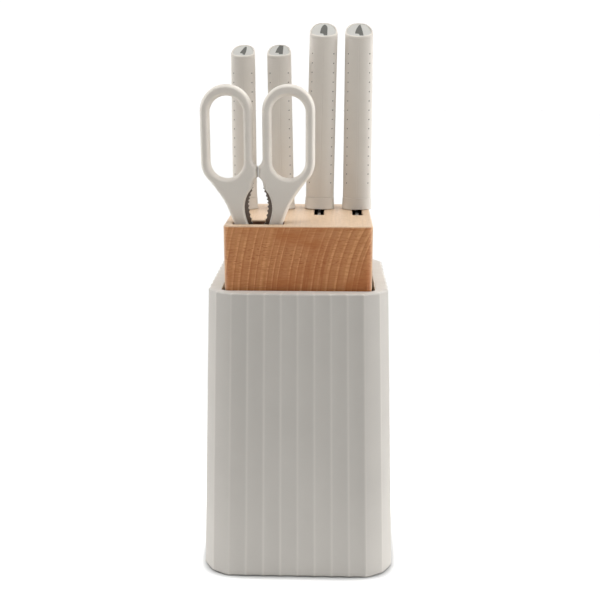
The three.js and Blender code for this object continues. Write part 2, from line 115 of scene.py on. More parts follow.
# Knives, from the middle of the handle at the insert's top
SPINE = 9.1
WIDEST = 0.45  # how far in front of its middle a handle's section is widest, as a share of half its depth
FRONT_ROUNDNESS = 2.0  # exponents of the section's superellipse arcs
BACK_ROUNDNESS = 2.35
SECTION_SIDES = 96  # round the collars and caps
TAPER = 0.965
COLLAR_HEIGHT = 8.4
COLLAR_FLARE = 1.05
COLLAR_PROUD = 0.22
COLLAR_BEVEL = 0.4
REST_GAP = 0.08  # air under the collars
SEAM_GAP = 0.08
SEAM_ROUND = 0.15
BUTT_SLOPE = math.tan(math.radians(22.5))
BUTT_REACH = 6.0  # from the butt's front edge down to the highest level ring
BUTT_ROUND = 0.8
RIM_WIDTH = 1.2
GROOVE_DROP = 2.4  # of the fine groove round the butt, below its edge
GROOVE_WIDTH = 0.6
GROOVE_DEPTH = 0.1
CAP_HEIGHT = 1.6
CAP_SINK = 0.3
TANG_HALF = 6.5
TANG_LENGTH = 84.0
SPINE_EASE = 0.15  # width of the eased corners of a blade's back
BLADE_STEPS = 70
NECK = 1.0  # from the blade's shoulder up to the insert's top
HEEL = 9.0  # the same from the heel of its edge
SHORT_HANDLE = {"width": 17.4, "depth": 20.2, "length": 107.0, "dimples": 13}
LONG_HANDLE = {"width": 20.1, "depth": 24.6, "length": 120.1, "dimples": 15}
FIRST_DIMPLE = 11.4  # below the front of the butt
DIMPLE_PITCH = 6.4
DIMPLE_RADIUS = 0.55
DIMPLE_DEPTH = 0.5
DIMPLE_STEPS = (-1, -0.6, 0, 0.6, 1)
DIMPLE_ANGLES = [math.radians(a) for a in (-140, -180, 140, -40, 0, 40)]
PARTING_WIDTH = 0.2
PARTING_DEPTH = 0.14
KNIVES = {
    "paring_knife": {
        "handle": SHORT_HANDLE,
        "blade": {"length": 105, "height": 25, "thickness": 1.6, "drop": 0.62, "rise": 0.45, "point": 0.3},
        "icon": {"length": 13.6, "width": 4.2, "tip": "small", "front": 2.0},
    },
    "utility_knife": {
        "handle": SHORT_HANDLE,
        "blade": {"length": 125, "height": 26, "thickness": 1.6, "drop": 0.88, "rise": 0.8, "point": 0.12},
        "icon": {"length": 14.7, "width": 5.3, "tip": "blunt", "front": 2.4},
    },
    "santoku_knife": {
        "handle": LONG_HANDLE,
        "blade": {"length": 175, "height": 42, "thickness": 2, "drop": 0.74, "rise": 0.62, "point": 0.72},
        "icon": {"length": 18.5, "width": 5.1, "tip": "round", "front": 1.1},
    },
    "chef_knife": {
        "handle": LONG_HANDLE,
        "blade": {"length": 200, "height": 42.5, "thickness": 2, "drop": 0.66, "rise": 0.4, "point": 0.4},
        "icon": {"length": 19.4, "width": 5.8, "tip": "pointed", "front": 1.1},
    },
}

# Scissors, from their pivot
LOOP_X = 20.2
LOOP_OUTER = 17.2
LOOP_HOLE = 11.0
LOOP_TOP = 87.2
LOOP_LOW = 54.9
STOP_TOP = 51.7
STOP_LOW = 44.8
GRIP_BOTTOM = 9.0
GRIP_HALF = 5.2  # half the thickness of the grips
GRIP_ROUND = 2.5  # how far in from an edge the grip reaches that thickness
JAW_ROUND = 0.9  # the same, beside the jaw
JAW_TOP = 37.6
GRIP_FLANK = [(14.4, GRIP_BOTTOM), ((17, 16), (20.9, 25.8)), ((23.5, 31.3), (31.4, 41.5))]  # up to the loops
GRIP_JAW = [(4.4, 9), (6.9, 13.8), (8.9, 21.3), (8.9, 27.2), (7.2, 32.8), (3.9, JAW_TOP)]
GRIP_MESH = 1.2  # spacing of the grip's points away from its edges
EDGE_DEPTHS = (0.1, 0.32, 0.65, 1.1, 1.7, 2.3)  # and how far in the rows along its edges lie
TOOTHED_JAW = [(2, 9), (3.9, 14.4), (5.5, 20.8), (6.1, 27), (5.1, 32), (3.2, JAW_TOP)]
JAW_TANG = 4.0
TOOTH_PITCH = 2.6
TOOTH_DEPTH = 0.85
STEEL = 2.4
STEEL_LAYER = -1.35
PIVOT_DISC = 7.5
PIVOT_SHAFT = 2.3
PIVOT_HEAD = (5.0, 1.6)
PIVOT_SLOT = (12.0, 1.1, 1.6)
NUT_ROUND = 0.3
SHEAR = {"length": 105, "width": 13, "tip": 2.5}
GRIND_WIDTH = 2.6
BEVEL_WIDTH = 0.2  # of the steel's other edges

# Beech: the growth rings' middle in metres across and up, their spacing, and linear colours.
HEART = (0.155, 0.186)
RING_PITCH = 0.0052
FLECK_DEPTH = 0.021  # of the band where rust flecks crowd, below the top
SIDE_GRAIN = (0.62, 0.45, 0.305)
END_GRAIN = (0.545, 0.222, 0.077)
END_PALE = (0.72, 0.352, 0.14)
END_DEEP = (0.405, 0.12, 0.032)
END_GREY = (0.6, 0.3, 0.13)
END_RUST = (0.45, 0.142, 0.036)
END_FLECK = (0.33, 0.085, 0.024)
# painted shade for the walls inside the slots
SLOT_SHADE_COLOUR = (0.2, 0.075, 0.035)

# Plastics, steels, rubber and ink, also linear.
HOUSING_COLOUR = (0.547, 0.52, 0.481)
HANDLE_COLOUR = (0.7, 0.652, 0.587)
CAP_COLOUR = (0.5, 0.49, 0.455)
BASE_COLOUR = (0.3, 0.285, 0.265)
# painted shade that darkens the handles' dimples
DIMPLE_SHADE_COLOUR = (0.09, 0.08, 0.07)
BLADE_COLOUR = (0.63, 0.635, 0.64)
JAW_COLOUR = (0.21, 0.172, 0.145)
FASTENER_COLOUR = (0.52, 0.525, 0.53)
RUBBER_COLOUR = (0.035, 0.034, 0.033)
DUST_COLOUR = (0.11, 0.105, 0.1)
INK_COLOUR = (0.08, 0.079, 0.065)

# Studio light: along a direction's Y, Z or X, where each begins and ends and its strength at both.
BACK_WALL = (0.2, 0.8, 0, 1.1)
CEILING = (0.9, 0.98, 0, 6.6)
RIGHT_PANEL = (0.62, 0.92, 0, 4.2)
LEFT_PANEL = (-0.62, -0.92, 0, 3.1)
MIRRORED_LIMIT = 1.4  # the most that mirror images show of it
SHOWN_WHITE = 1.05  # what the camera sees of it
FLOOR_GLOW = (0.085, 0.32, 0.48, 0)  # the same four numbers, by distance from the middle in metres
# the ring round the object's foot where the floor's glow and white fade to nothing, a painted contact shadow
FLOOR_CONTACT_SHADOW = (0.0665, 0.0725)
FLOOR_WHITE = 0.3
FLOOR_REACH = 6.0

CAMERA_PLACE = (0.0209, -0.652, 0.350)
CAMERA_DIRECTION = (-0.0314, 0.968, -0.249)
CAMERA_LENS = 56.4
CAMERA_SENSOR = 36

# --- shapes: (points, faces), millimetres


def join(*shapes):
    points, faces = [], []
    for more_points, more_faces in shapes:
        start = len(points)
        points += [Vector(p) for p in more_points]
        faces += [tuple(start + i for i in face) for face in more_faces]
    return points, faces


def placed(shape, matrix):
    return [matrix @ Vector(p) for p in shape[0]], shape[1]


def loft(rings, cycle=False):
    """Quads between rings of equal length. A cycle joins the last to the first; else both ends are filled."""
    count = len(rings[0])
    points = [Vector(p) for ring in rings for p in ring]
    faces = []
    for i in range(len(rings) if cycle else len(rings) - 1):
        here, there = i * count, (i + 1) % len(rings) * count
        for j in range(count):
            k = (j + 1) % count
            faces.append((here + j, here + k, there + k, there + j))
    if not cycle:
        faces.append(tuple(range(count)))
        faces.append(tuple(range(len(points) - count, len(points))))
    return points, faces


def full_turn(steps):
    return [TURN * i / steps for i in range(steps)]


def lathe(profile, sides=48):
    """(radius, height) pairs turned about Z. The ends are filled."""
    return loft([[(r * math.cos(a), r * math.sin(a), z) for a in full_turn(sides)] for r, z in profile])


def quarter(radius, steps=4):
    """Offsets from a sharp edge's two faces to points of the arc that rounds it, from (radius, 0) on."""
    angles = [math.pi / 2 * i / steps for i in range(steps + 1)]
    return [(radius * (1 - math.sin(a)), radius * (1 - math.cos(a))) for a in angles]


def rounded_rectangle(left, right, front, back, radius, steps=8):
    corners = [(right, back, -1, -1), (left, back, 1, -1), (left, front, 1, 1), (right, front, -1, 1)]
    loop = []
    for quadrant, (x, y, sx, sy) in enumerate(corners):
        for i in range(steps + 1):
            angle = math.pi / 2 * (quadrant + i / steps)
            loop.append((x + radius * (sx + math.cos(angle)), y + radius * (sy + math.sin(angle))))
    return loop


def circle(x, y, radius, sides=32):
    return [(x + radius * math.cos(a), y + radius * math.sin(a)) for a in full_turn(sides)]


def pierced(ring_sets, flat=Vector):
    """A solid with holes: walls along each loop's rings, and ends filled across them, laid out by flat."""
    points, faces, ends = [], [], ([], [])
    for rings in ring_sets:
        start, count = len(points), len(rings[0])
        ring_points, ring_faces = loft(rings)
        points += ring_points
        faces += [tuple(start + i for i in face) for face in ring_faces[:-2]]
        ends[0].append(range(start, start + count))
        ends[1].append(range(len(points) - count, len(points)))
    for loops in ends:
        order = [i for loop in loops for i in loop]
        triangles = tessellate_polygon([[flat(points[i]) for i in loop] for loop in loops])
        faces += [tuple(order[i] for i in triangle) for triangle in triangles]
    return points, faces


def pierced_slab(loops_at, low, high, edge_round):
    """A plate with holes. loops_at(inset) gives its loops, outer one first, drawn in by inset."""
    profile = [(inset, low + rise) for rise, inset in quarter(edge_round)]
    profile += [(inset, high - drop) for inset, drop in reversed(quarter(edge_round))]
    stages = [(loops_at(inset), z) for inset, z in sorted(profile, key=lambda row: row[1])]
    loop_count = len(stages[0][0])
    return pierced([[[(x, y, z) for x, y in loops[i]] for loops, z in stages] for i in range(loop_count)])


def bezier(start, control, end, steps=10):
    """Points of a quadratic curve, without its first."""
    for i in range(1, steps + 1):
        t = i / steps
        weights = ((1 - t) ** 2, 2 * t * (1 - t), t * t)
        yield tuple(sum(w * p[k] for w, p in zip(weights, (start, control, end))) for k in range(2))


def path(start, *curves):
    """A start and the points of the quadratic curves that follow, each given by its control point and end."""
    points = [start]
    for control, end in curves:
        points += bezier(points[-1], control, end)
    return points


def arc(x, y, radius, first, last, steps=24):
    for i in range(steps + 1):
        angle = first + (last - first) * i / steps
        yield (x + radius * math.cos(angle), y + radius * math.sin(angle))


def evenly(loop, spacing):
    """The closed loop with points added so that none lie further apart than spacing."""
    result = []
    for (ax, ay), (bx, by) in zip(loop, loop[1:] + loop[:1]):
        parts = max(1, math.ceil(math.hypot(bx - ax, by - ay) / spacing))
        result += [(ax + (bx - ax) * i / parts, ay + (by - ay) * i / parts) for i in range(parts)]
    return result


def inward_normals(loop):
    """Unit normals at a loop's points, to the left of its direction."""
    points = np.array(loop)
    along = np.roll(points, -1, 0) - np.roll(points, 1, 0)
    normals = np.stack([-along[:, 1], along[:, 0]], 1)
    return normals / np.maximum(np.linalg.norm(normals, axis=1, keepdims=True), 1e-9)


# --- pieces


def solid_mesh(name, points, faces, merge, painted_light_shares=None):
    """A mesh with its doubles merged, its slivers gone and its faces turned outward."""
    mesh = bpy.data.meshes.new(name)
    mesh.from_pydata([tuple(p) for p in points], [], faces)
    if painted_light_shares is not None:
        mesh.attributes.new("painted_light", "FLOAT", "POINT").data.foreach_set("value", painted_light_shares)
    work = bmesh.new()
    work.from_mesh(mesh)
    bmesh.ops.remove_doubles(work, verts=work.verts, dist=merge)
    bmesh.ops.dissolve_degenerate(work, edges=work.edges, dist=merge / 2)
    bmesh.ops.recalc_face_normals(work, faces=work.faces)
    work.to_mesh(mesh)
    work.free()
    return mesh


def piece(name, shape, body, slot, replaces=(), painted_light_shares=None, sharp=38, look=None):
    """A named piece made of a shape, riding its body, in its slot's material or in the look's.

    The number given for each point sets how much painted light its material puts there: a highlight on the
    housing and shade on the handles. Edges sharper than sharp, in degrees, stay sharp.
    """
    points, faces = shape
    mesh = solid_mesh(name, [Vector(p) * MM for p in points], faces, 2e-7, painted_light_shares)
    mesh.shade_smooth()
    mesh.set_sharp_from_angle(angle=math.radians(sharp))
    mesh.materials.append(MATERIALS[look or slot])
    obj = bpy.data.objects.new(name, mesh)
    bpy.context.scene.collection.objects.link(obj)
    shading = obj.modifiers.new("weighted_normals", "WEIGHTED_NORMAL")
    shading.keep_sharp = True
    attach(obj, body)
    if replaces:
        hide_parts(*replaces)


def box_mm(node):
    low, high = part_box(node)
    return low / MM, high / MM


def seat(node):
    """The middle of a node's underside."""
    low, high = box_mm(node)
    return Matrix.Translation(((low.x + high.x) / 2, (low.y + high.y) / 2, low.z))


# --- materials

MATERIALS = {}


class Wiring:
    """A node tree while it is wired. Its methods add a node and return that node's output."""

    def __init__(self, tree):
        self.nodes, self.links = tree.nodes, tree.links

    def put(self, socket, value):
        if isinstance(value, bpy.types.NodeSocket):
            self.links.new(value, socket)
        else:
            socket.default_value = value

    def add(self, kind, output, sockets, **settings):
        node = self.nodes.new(f"ShaderNode{kind}")
        for name, value in settings.items():
            setattr(node, name, value)
        for socket, value in sockets.items():
            self.put(node.inputs[socket], value)
        return node.outputs[output]

    def math(self, operation, *values):
        return self.add("Math", 0, dict(enumerate(values)), operation=operation)

    def times(self, first, second):
        return self.math("MULTIPLY", first, second)

    def plus(self, first, second):
        return self.math("ADD", first, second)

    def span(self, value, low, high, out_low=0.0, out_high=1.0, steps="LINEAR"):
        sockets = dict(enumerate((value, low, high, out_low, out_high)))
        return self.add("MapRange", 0, sockets, interpolation_type=steps)

    def between(self, factor, first, second):
        return self.add("Mix", 0, {0: factor, 2: first, 3: second})

    def split(self, vector):
        return self.add("SeparateXYZ", slice(None), {0: vector})


class Look(Wiring):
    """A material while it is wired, kept in MATERIALS under its name."""

    def __init__(self, name, colour, roughness, **sockets):
        material = bpy.data.materials.new(name)
        material.use_nodes = True
        MATERIALS[name] = material
        super().__init__(material.node_tree)
        self.shader = self.nodes["Principled BSDF"]
        self.place = self.add("TexCoord", "Object", {})
        self.shade("Base Color", (*colour, 1))
        self.shade("Roughness", roughness)
        for socket, value in sockets.items():
            self.shade(socket.replace("_", " "), value)

    def shade(self, socket, value):
        self.put(self.shader.inputs[socket], value)

    def stretched(self, scale, shift=(0, 0, 0)):
        return self.add("Mapping", 0, {"Vector": self.place, "Scale": scale, "Location": shift})

    def noise(self, scale, detail, roughness=0.5, at=None):
        sockets = {"Vector": at or self.place, "Scale": scale, "Detail": detail, "Roughness": roughness}
        return self.add("TexNoise", "Fac", sockets)

    def mix(self, factor, *colours):
        first, second = (c if isinstance(c, bpy.types.NodeSocket) else (*c, 1) for c in colours)
        return self.add("Mix", 2, {0: factor, 6: first, 7: second}, data_type="RGBA")

    def ramp(self, factor, stops):
        output = self.add("ValToRGB", 0, {0: factor})
        elements = output.node.color_ramp.elements
        while len(elements) < len(stops):
            elements.new(0.5)
        for element, (position, colour) in zip(elements, stops):
            element.position = position
            element.color = (*colour, 1)
        return output

    def bump(self, height, distance, strength, under=None):
        sockets = {"Height": height, "Distance": distance, "Strength": strength}
        if under is not None:
            sockets["Normal"] = under
        return self.add("Bump", 0, sockets)


def shaded(colour, factor):
    return tuple(c * factor for c in colour)


def moulded_plastic(name, colour, roughness, grain, painted_light_colour=None):
    """Spark-eroded plastic: fine grain, faint clouds, and another colour where it is marked: painted
    highlight on the housing's ridges and painted shade in the handles' dimples.
    """
    look = Look(name, colour, roughness, IOR=1.46, Specular_IOR_Level=0.4)
    clouds = look.noise(24, 3)
    tone = look.mix(look.span(clouds, 0.35, 0.65), shaded(colour, 0.975), shaded(colour, 1.015))
    speck = look.noise(2600, 1)
    tone = look.mix(look.span(speck, 0.66, 0.78, 0, 0.35), tone, shaded(colour, 0.82))
    if painted_light_colour:
        tone = look.mix(look.add("Attribute", "Fac", {}, attribute_name="painted_light"), tone, painted_light_colour)
    look.shade("Base Color", tone)
    look.shade("Roughness", look.span(look.noise(60, 4), 0.3, 0.7, roughness - 0.04, roughness + 0.05))
    fine = look.bump(look.noise(1900, 2, 0.6), grain, 0.55)
    look.shade("Normal", look.bump(look.noise(70, 2), 0.00006, 0.25, fine))


def growth_rings(look, x, z):
    """How far through its year each point of the end grain grew, from 0 to 1."""
    across, up = (look.math("SUBTRACT", value, centre) for value, centre in zip((x, z), HEART))
    radius = look.math("SQRT", look.plus(look.math("POWER", across, 2), look.math("POWER", up, 2)))
    drift = look.times(look.noise(75, 2, at=radius), 2.4)
    waves = look.times(look.noise(30, 2), 0.45)
    years = look.plus(look.times(radius, -1 / RING_PITCH), look.plus(drift, waves))
    return look.math("FRACT", years)


def end_grain(look, rings, rays, flecks, z, top):
    """Pale and deep bands, greyer towards the top, with rusty patches, fine level lines and short dashes."""
    stops = [(0, END_PALE), (0.13, END_PALE), (0.2, END_DEEP)]
    stops += [(0.5, END_GRAIN), (0.88, END_GRAIN), (1, END_PALE)]
    calm = look.mix(look.span(look.noise(40, 3), 0.4, 0.7, 0, 0.5), look.ramp(rings, stops), END_GRAIN)
    height = look.span(z, top - 0.05, top)
    tinted = look.mix(look.times(height, 0.45), calm, END_GREY)
    patches = look.noise(26, 4, 0.6, at=look.stretched((1, 1, 1.6), (2, 5, 8)))
    rusty = look.mix(look.span(patches, 0.46, 0.66, 0, 0.75), tinted, END_RUST)
    lined = look.mix(look.span(rays, 0.42, 0.66, 0, 0.42), rusty, END_DEEP)
    off_middle = look.math("ABSOLUTE", look.math("SUBTRACT", z, top - FLECK_DEPTH))
    scatter = look.times(look.noise(45, 3, at=look.stretched((1, 1, 1.5), (4, 4, 0))), 0.05)
    crowd = look.span(look.math("SUBTRACT", scatter, off_middle), 0.005, 0.02, 0.05, 1)
    dashes = look.times(look.span(flecks, 0.58, 0.68), crowd)
    return look.mix(look.times(dashes, 0.55), lined, END_FLECK)


def long_grain(look, vessels):
    """Fibres that run from front to back, with short darker vessels."""
    fibres = look.noise(1, 4, 0.65, at=look.stretched((700, 24, 700)))
    tone = look.mix(look.span(fibres, 0.35, 0.65), shaded(SIDE_GRAIN, 0.92), shaded(SIDE_GRAIN, 1.05))
    return look.mix(look.span(vessels, 0.6, 0.72, 0, 0.4), tone, shaded(SIDE_GRAIN, 0.74))


def beech():
    """Beech with its end grain to the front and back, and painted shade darkening the walls in its slots."""
    look = Look("beech", SIDE_GRAIN, 0.42, IOR=1.45)
    x, y, z = look.split(look.place)
    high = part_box("wood_block")[1]
    rings = growth_rings(look, x, z)
    rays = look.noise(1, 2, 0.6, at=look.stretched((150, 150, 1250)))
    flecks = look.noise(1, 1, 0.5, at=look.stretched((330, 330, 1150), (7, 1, 3)))
    vessels = look.noise(1, 2, 0.5, at=look.stretched((1700, 260, 1700)))
    width, depth = look.math("ABSOLUTE", x), look.math("ABSOLUTE", y)
    facing = look.span(depth, high.y - 0.0035, high.y - 0.0006)
    below = look.span(z, high.z - 0.0012, high.z - 0.0003, 1, 0)
    end = end_grain(look, rings, rays, flecks, z, high.z)
    outside = look.mix(look.times(facing, below), long_grain(look, vessels), end)
    sides = ((width, high.x), (depth, high.y))
    within = [look.span(value, edge - 0.0035, edge - 0.003, 1, 0) for value, edge in sides]
    slot_shade_mask = look.times(look.times(*within), below)
    # the walls inside the slots are darkened with painted shade
    look.shade("Base Color", look.mix(look.times(slot_shade_mask, 0.75), outside, SLOT_SHADE_COLOUR))
    look.shade("Roughness", look.span(flecks, 0.3, 0.7, 0.38, 0.52))
    relief = look.bump(rays, 0.00003, 0.5)
    look.shade("Normal", look.bump(rings, 0.00003, 0.3, look.bump(vessels, 0.00003, 0.4, relief)))


def brushed_steel(name, colour, roughness, scale):
    """Ground steel with fine lines, longest along the axis whose scale is smallest."""
    look = Look(name, colour, roughness, Metallic=1.0)
    lines = look.noise(1, 3, 0.6, at=look.stretched(scale))
    broad = look.noise(1, 2, at=look.stretched(shaded(scale, 0.2), (5, 3, 2)))
    tone = look.mix(look.span(lines, 0.3, 0.7), shaded(colour, 0.86), shaded(colour, 1.06))
    look.shade("Base Color", look.mix(look.span(broad, 0.35, 0.65, 0, 0.3), tone, shaded(colour, 0.82)))
    look.shade("Roughness", look.span(lines, 0.3, 0.7, roughness - 0.07, roughness + 0.1))
    look.shade("Normal", look.bump(lines, 0.00002, 0.35))


def rubber():
    look = Look("foot_rubber", RUBBER_COLOUR, 0.75)
    dust = look.noise(420, 4)
    look.shade("Base Color", look.mix(look.span(dust, 0.5, 0.75, 0, 0.5), RUBBER_COLOUR, DUST_COLOUR))
    look.shade("Roughness", look.span(dust, 0.3, 0.7, 0.68, 0.86))
    look.shade("Normal", look.bump(look.noise(1400, 3), 0.00006, 0.6))


def printed_ink():
    look = Look("printed_ink", INK_COLOUR, 0.5)
    look.shade("Base Color", look.mix(look.noise(700, 3), shaded(INK_COLOUR, 0.85), shaded(INK_COLOUR, 1.2)))
    look.shade("Normal", look.bump(look.noise(1600, 2), 0.00002, 0.5))


# the ridges of the housing's flutes are painted a tenth lighter, a painted highlight
moulded_plastic("housing_plastic", HOUSING_COLOUR, 0.46, 0.00005, shaded(HOUSING_COLOUR, 1.1))
# the handles' dimples are darkened with painted shade
moulded_plastic("handle_plastic", HANDLE_COLOUR, 0.4, 0.00003, DIMPLE_SHADE_COLOUR)
moulded_plastic("grip_plastic", shaded(HANDLE_COLOUR, 0.99), 0.38, 0.00003)
moulded_plastic("cap_plastic", CAP_COLOUR, 0.42, 0.00003)
moulded_plastic("base_plastic", BASE_COLOUR, 0.55, 0.00008)
beech()
brushed_steel("blade_steel", BLADE_COLOUR, 0.27, (300, 45, 2600))
brushed_steel("jaw_steel", JAW_COLOUR, 0.36, (90, 300, 1900))
brushed_steel("fastener_steel", FASTENER_COLOUR, 0.3, (1500, 1500, 1500))
rubber()
printed_ink()

# --- housing


def ridge_posts(half):
    """The ridges between the flutes, counter-clockwise, each with the samples of the hollow after it."""
    flat = half * FLAT_SHARE
    chord = (half - flat) / (math.cos(CORNER_ANGLE) + math.sin(CORNER_ANGLE))
    corner = (flat + chord * math.cos(CORNER_ANGLE), chord * math.sin(CORNER_ANGLE) - half)
    starts = [-flat + 2 * flat * i / FLUTES_PER_SIDE for i in range(FLUTES_PER_SIDE)]
    side = [(Vector((x, -half)), FLUTE_SAMPLES) for x in starts]
    side += [(Vector((flat, -half)), FACET_SAMPLES), (Vector(corner), FACET_SAMPLES)]
    return [(Matrix.Rotation(TURN / 4 * turn, 2) @ post, count) for turn in range(4) for post, count in side]


def fluted_ring(half, depth=FLUTE_DEPTH):
    """The outline's points with rounded ridges, and for each point its share of painted highlight: 1 on a
    ridge, else 0.
    """
    posts = ridge_posts(half)
    hollows = []
    for i, (start, count) in enumerate(posts):
        along = posts[(i + 1) % len(posts)][0] - start
        inward = Vector((-along.y, along.x)).normalized()
        hollow = depth if count == FLUTE_SAMPLES else -CORNER_BULGE if depth else 0
        trim = 0.5 * RIDGE_RADIUS / along.length
        steps = [trim + (1 - 2 * trim) * k / count for k in range(count + 1)]
        hollows.append([start + along * t + inward * hollow * 4 * t * (1 - t) for t in steps])
    ring, painted_light_shares = [], []
    for i, (post, _) in enumerate(posts):
        ring.append(hollows[i - 1][-1])
        for k in range(1, RIDGE_STEPS):
            t = k / RIDGE_STEPS
            ring.append(hollows[i - 1][-1] * (1 - t) ** 2 + post * 2 * t * (1 - t) + hollows[i][0] * t * t)
        # painted highlight along each ridge, weaker at its sides
        painted_light_shares += [0.4] + [1.0] * (RIDGE_STEPS - 1) + [0.4] + [0.0] * (len(hollows[i]) - 2)
        ring += hollows[i][:-1]
    return ring, painted_light_shares


def rounded_square_at(directions, half, radius):
    """A rounded square's points in the given directions from its middle."""
    core = half - radius
    points = []
    for direction in directions:
        a, b = abs(direction.x), abs(direction.y)
        reach = half / max(a, b)
        if min(a, b) * reach > core:
            along = core * (a + b)
            reach = along + math.sqrt(along * along - 2 * core * core + radius * radius)
        points.append(direction * reach)
    return points


def screw_boss(floor):
    """A boss above the base plate with the blind hole of its screw."""
    top, hole_top = floor + BOSS_HEIGHT, floor + SCREW_HOLE_DEPTH
    return lathe([(0, hole_top), (SCREW_HOLE, hole_top), (SCREW_HOLE, floor), (BOSS_RADIUS, floor),
                  (BOSS_RADIUS, top - BOSS_ROUND), (BOSS_RADIUS - BOSS_ROUND, top), (0, top)], 32)


def housing_wall():
    """The shell's wall, rim, opening, ledge, sleeve and inside, as one closed strip, and each point's share
    of painted highlight.
    """
    low, high = box_mm("housing_shell")
    base_half, bottom, top = (high.x - low.x) / 2, low.z, high.z
    ledge_top = box_mm("wood_block")[0].z - INSERT_GAP
    directions = [p.normalized() for p in fluted_ring(TOP_HALF)[0]]
    rings, painted_light_shares = [], []

    def half_at(z):
        return base_half + (TOP_HALF - base_half) * (z - bottom) / (top - bottom)

    def add(ring, z, ring_painted_light_shares=None):
        rings.append([(p.x, p.y, z) for p in ring])
        painted_light_shares.extend(ring_painted_light_shares or [0.0] * len(ring))

    def outer(inset, z):
        ring, ring_painted_light_shares = fluted_ring(half_at(z) - inset)
        add(ring, z, ring_painted_light_shares)

    def inner(half, radius, z):
        add(rounded_square_at(directions, half, radius), z)

    for inset, rise in quarter(RIM_ROUND, 6):
        outer(inset, bottom + rise)
    for share in (0.25, 0.5, 0.75):
        outer(0, bottom + (top - bottom) * share)
    for inset, drop in reversed(quarter(RIM_ROUND, 6)):
        outer(inset, top - drop)
    for back, drop in quarter(OPENING_ROUND, 5):
        inner(OPENING_HALF + back, OPENING_RADIUS + back, top - drop)
    inner(OPENING_HALF, OPENING_RADIUS, (top + ledge_top) / 2)
    for back, rise in reversed(quarter(LEDGE_ROUND, 3)):
        inner(OPENING_HALF - back, OPENING_RADIUS, ledge_top + rise)
    ledge_half, sleeve_half = OPENING_HALF - LEDGE_WIDTH, OPENING_HALF + SLEEVE_WALL
    for back, drop in quarter(LEDGE_ROUND, 3):
        inner(ledge_half + back, OPENING_RADIUS, ledge_top - drop)
    inner(ledge_half, OPENING_RADIUS, ledge_top - LEDGE_HEIGHT)
    for z in (ledge_top - LEDGE_HEIGHT, top - WALL):
        inner(sleeve_half, OPENING_RADIUS + SLEEVE_WALL, z)
    for z in (top - WALL, (top + bottom) / 2, bottom):
        add(fluted_ring(half_at(z) - WALL, 0)[0], z)
    return loft(rings, cycle=True), painted_light_shares


def housing_shell():
    wall, painted_light_shares = housing_wall()
    boss = screw_boss(box_mm("base_plate")[1].z + INSERT_GAP)
    bosses = [placed(boss, Matrix.Translation((x, y, 0))) for x, y in BOSS_PLACES]
    shape = join(wall, *bosses)
    painted_light_shares += [0.0] * (len(shape[0]) - len(painted_light_shares))
    piece("housing_body", shape, "housing", "housing_plastic", ["housing_shell"], painted_light_shares)


def base_plate():
    low, high = box_mm("base_plate")
    plain = (high.x - low.x) / 2

    def loops(inset):
        outline = [tuple(p) for p in fluted_ring(plain - inset, 0)[0]]
        half, length = DRAIN_WIDTH / 2 + inset, DRAIN_HALF + inset
        middles = [(i - (DRAIN_SLOTS - 1) / 2) * DRAIN_PITCH for i in range(DRAIN_SLOTS)]
        slots = [rounded_rectangle(x - half, x + half, -length, length, half - 0.01) for x in middles]
        return [outline, *slots, *(circle(x, y, SCREW_HOLE + inset) for x, y in BOSS_PLACES)]

    shape = pierced_slab(loops, low.z, high.z, PLATE_ROUND)
    piece("base_panel", shape, "housing", "base_plastic", ["base_plate"])


def foot(corner):
    node = f"foot_{corner}"
    low, high = box_mm(node)
    radius, height = (high.x - low.x) / 2, high.z - low.z
    profile = [(0, FOOT_HOLLOW_DEPTH), (FOOT_HOLLOW_RADIUS, FOOT_HOLLOW_DEPTH)]
    profile += [(FOOT_HOLLOW_RADIUS + 0.4, 0), (radius - 1, 0)]
    profile += [(radius - back, rise) for rise, back in quarter(FOOT_ROUND, 5)]
    profile += [(radius, height - 0.2), (radius - 0.2, height), (0, height)]
    piece(f"rubber_{node}", placed(lathe(profile), seat(node)), "housing", "foot_rubber", [node])


def carved(shape, cutter):
    """The shape with the cutter's solid taken out of it."""
    made = []
    for points, faces in (shape, cutter):
        made.append(bpy.data.objects.new("work", solid_mesh("work", points, faces, 1e-4)))
        bpy.context.scene.collection.objects.link(made[-1])
    cut = made[0].modifiers.new("cut", "BOOLEAN")
    cut.object, cut.operation, cut.solver = made[1], "DIFFERENCE", "EXACT"
    evaluated = made[0].evaluated_get(bpy.context.evaluated_depsgraph_get())
    result = evaluated.to_mesh()
    points = [v.co.copy() for v in result.vertices]
    faces = [tuple(p.vertices) for p in result.polygons]
    evaluated.to_mesh_clear()
    for obj in made:
        bpy.data.objects.remove(obj)
    return points, faces


def bar(length, width, height):
    """A box about the origin, for cutting."""
    return loft([[(x * length / 2, y * width / 2, z * height / 2) for x, y in SQUARE] for z in (-1, 1)])


def domed(radius, height):
    """The profile of a low dome that begins at a point on the axis."""
    return [(radius * math.sin(a), height * (1 - math.cos(a))) for a in np.linspace(0, math.pi / 2, 8)]


def base_screw(corner):
    node = f"base_screw_{corner}"
    low, high = box_mm(node)
    height = high.z - low.z
    profile = domed(SCREW_HEAD_RADIUS, SCREW_HEAD_DOME)
    profile += [(SCREW_HEAD_RADIUS, SCREW_HEAD_HEIGHT), (SCREW_RADIUS, SCREW_HEAD_HEIGHT)]
    pitch = (height - THREAD_START - SCREW_HEAD_HEIGHT) / THREAD_TURNS
    for i in range(THREAD_TURNS):
        z = THREAD_START + i * pitch
        profile += [(SCREW_RADIUS * 0.8, z + pitch * 0.3), (SCREW_RADIUS, z + pitch * 0.7)]
    profile.append((0, height))
    screw = lathe(profile, 32)
    for angle in (0.3, 0.3 + math.pi / 2):
        screw = carved(screw, placed(bar(*CROSS_RECESS), Matrix.Rotation(angle, 4, "Z")))
    piece(f"fastener_{node}", placed(screw, seat(node)), "housing", "fastener_steel", [node], sharp=30)


# --- wooden insert


